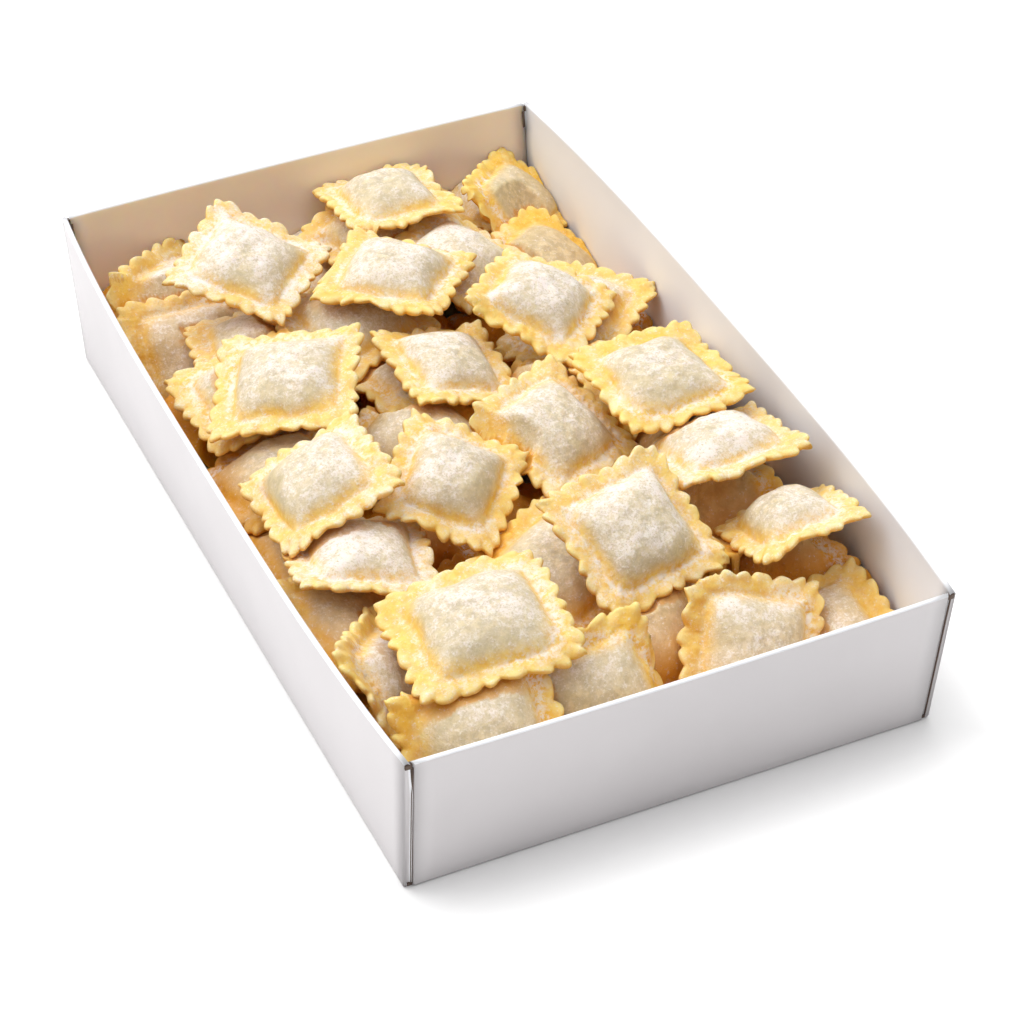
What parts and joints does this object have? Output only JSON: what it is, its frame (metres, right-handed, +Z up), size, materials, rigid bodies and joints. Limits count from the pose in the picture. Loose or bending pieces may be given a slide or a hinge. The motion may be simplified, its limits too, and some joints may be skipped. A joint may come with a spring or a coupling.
{
  "type": "box of ravioli",
  "caption": "Open white card box full of raw square ravioli with fluted edges, dusted with flour.",
  "frame": {"origin": "on the surface the box stands on, under the middle of its outer size", "axes": "+Z up, +Y along the long side to the back, +X along the short side to the right"},
  "size_m": [0.1694, 0.2806, 0.0614],
  "materials": {
    "card": "smooth white coated card",
    "dough": "raw egg pasta dusted with flour",
    "dough_below": "raw egg pasta with little flour"
  },
  "bodies": {
    "root": {"card_box": "card", "ravioli_01": "dough", "ravioli_02": "dough", "ravioli_03": "dough", "ravioli_04": "dough", "ravioli_05": "dough", "ravioli_06": "dough", "ravioli_07": "dough", "ravioli_08": "dough", "ravioli_09": "dough", "ravioli_10": "dough", "ravioli_11": "dough", "ravioli_12": "dough", "ravioli_13": "dough", "ravioli_14": "dough", "ravioli_15": "dough", "ravioli_16": "dough", "ravioli_17": "dough", "ravioli_18": "dough", "ravioli_19": "dough", "ravioli_20": "dough", "ravioli_21": "dough", "ravioli_22": "dough", "ravioli_23": "dough", "ravioli_24": "dough", "ravioli_25": "dough", "ravioli_26": "dough", "ravioli_27": "dough", "ravioli_28": "dough", "ravioli_29": "dough", "ravioli_30": "dough", "ravioli_31": "dough", "ravioli_32": "dough", "ravioli_33": "dough", "ravioli_34": "dough", "lower_ravioli": "dough_below"}
  },
  "joints": []
}
